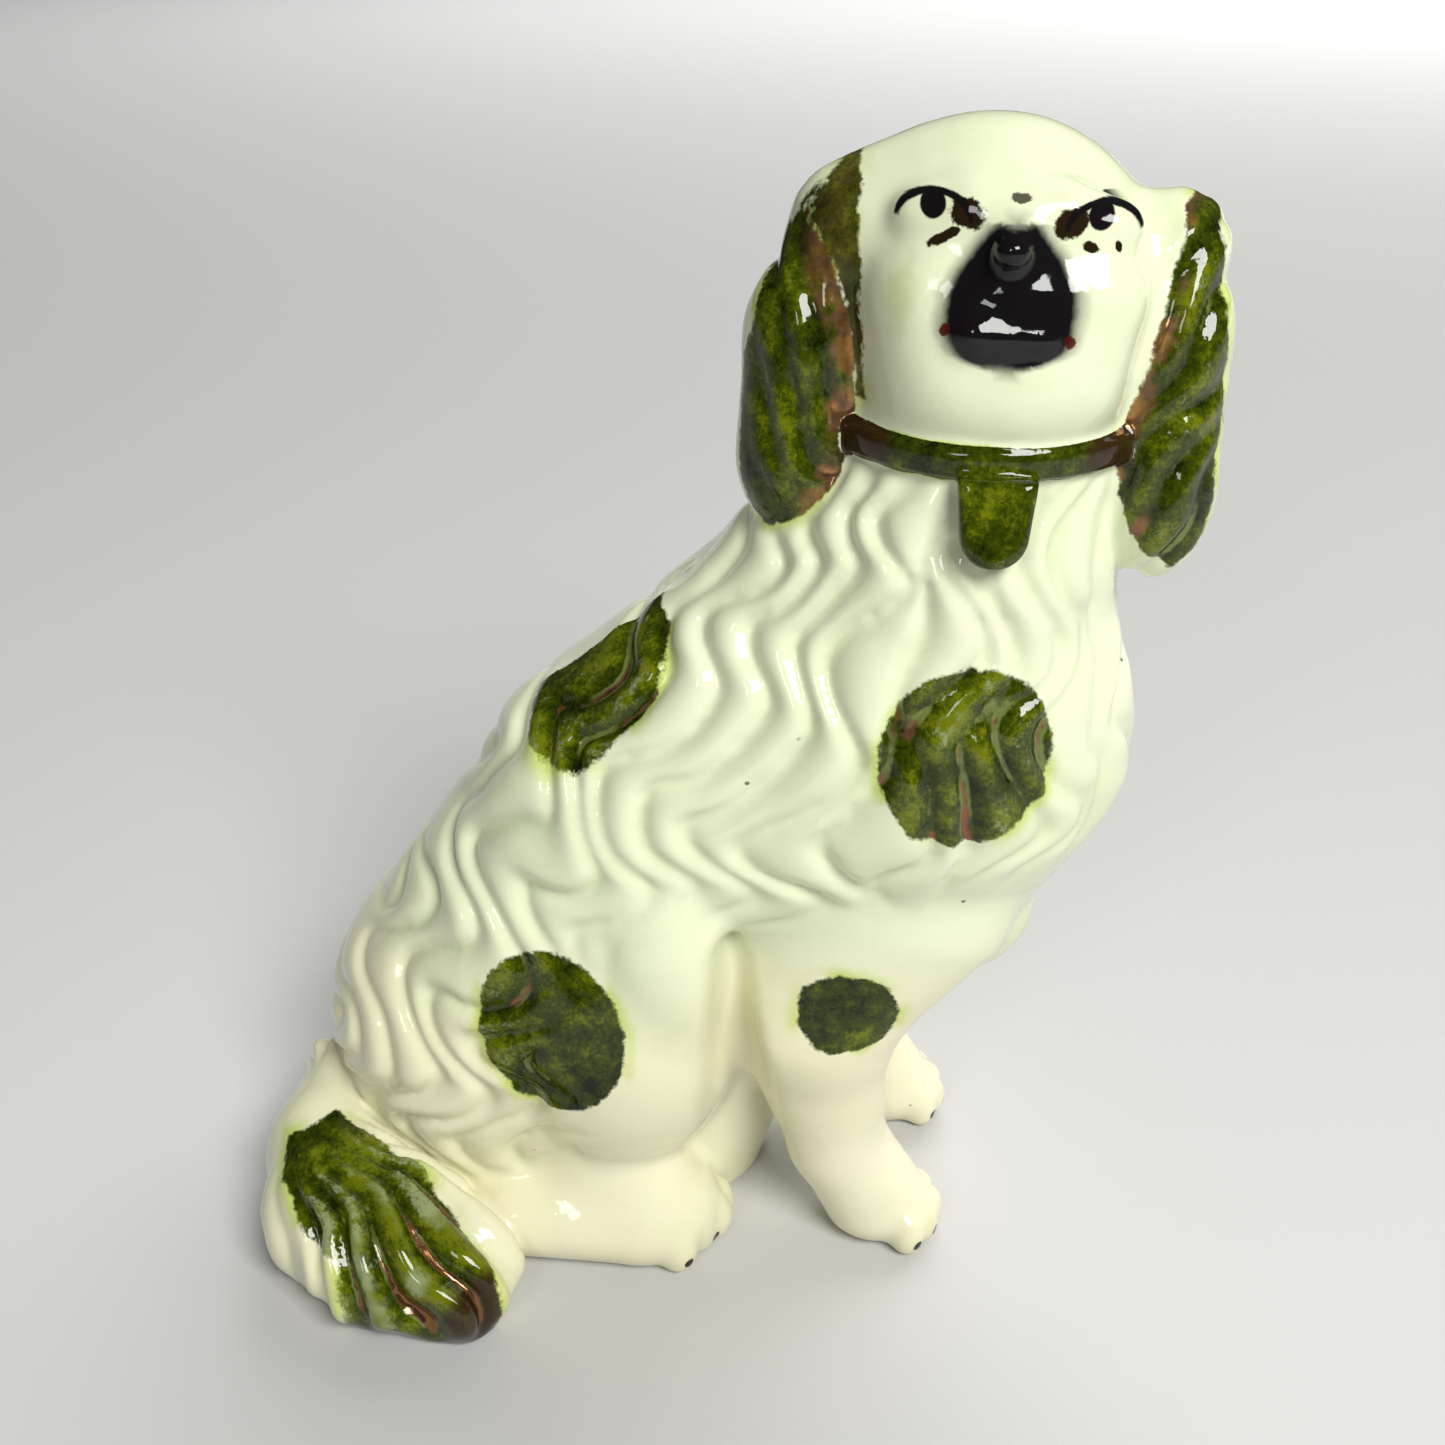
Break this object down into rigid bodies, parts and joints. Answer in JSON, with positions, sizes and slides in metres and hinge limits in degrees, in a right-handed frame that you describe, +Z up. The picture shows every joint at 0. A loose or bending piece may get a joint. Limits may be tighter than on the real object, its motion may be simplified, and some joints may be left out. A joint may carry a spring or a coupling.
{
  "type": "ceramic dog figurine",
  "caption": "Hollow glazed earthenware figurine of a seated spaniel with its head turned sideways, a collar with a locket and green spots.",
  "frame": {"origin": "on the ground under the figure, on the mould seam, near the middle of the slab that closes its underside", "axes": "+X the way the body and the four paws face, -Y the way the face looks (the dog's right side), +Z up; the mould seam is the plane y = 0"},
  "size_m": [0.1767, 0.107, 0.2148],
  "materials": {
    "white_glaze": "clear glossy lead glaze over a white body, greenish where it pools, with brushed copper green and lustre spots",
    "cream_glaze": "clear glossy glaze, creamier and thinner over the smooth legs and feet",
    "green_lustre": "glossy mottled copper green with metallic copper lustre in the grooves",
    "black_enamel": "very glossy black enamel with a feathered edge",
    "biscuit": "dry, unglazed and slightly stained where the figure was wiped clean to stand on"
  },
  "bodies": {
    "root": {"torso_near_half": "white_glaze", "torso_far_half": "white_glaze", "base_slab": "biscuit", "head_face_half": "white_glaze", "head_back_half": "white_glaze", "muzzle": "black_enamel", "right_ear": "green_lustre", "left_ear": "green_lustre", "collar": "green_lustre", "collar_locket": "green_lustre", "near_foreleg": "cream_glaze", "far_foreleg": "cream_glaze", "near_hind_foot": "cream_glaze", "far_hind_foot": "cream_glaze", "tail": "white_glaze"}
  },
  "joints": []
}
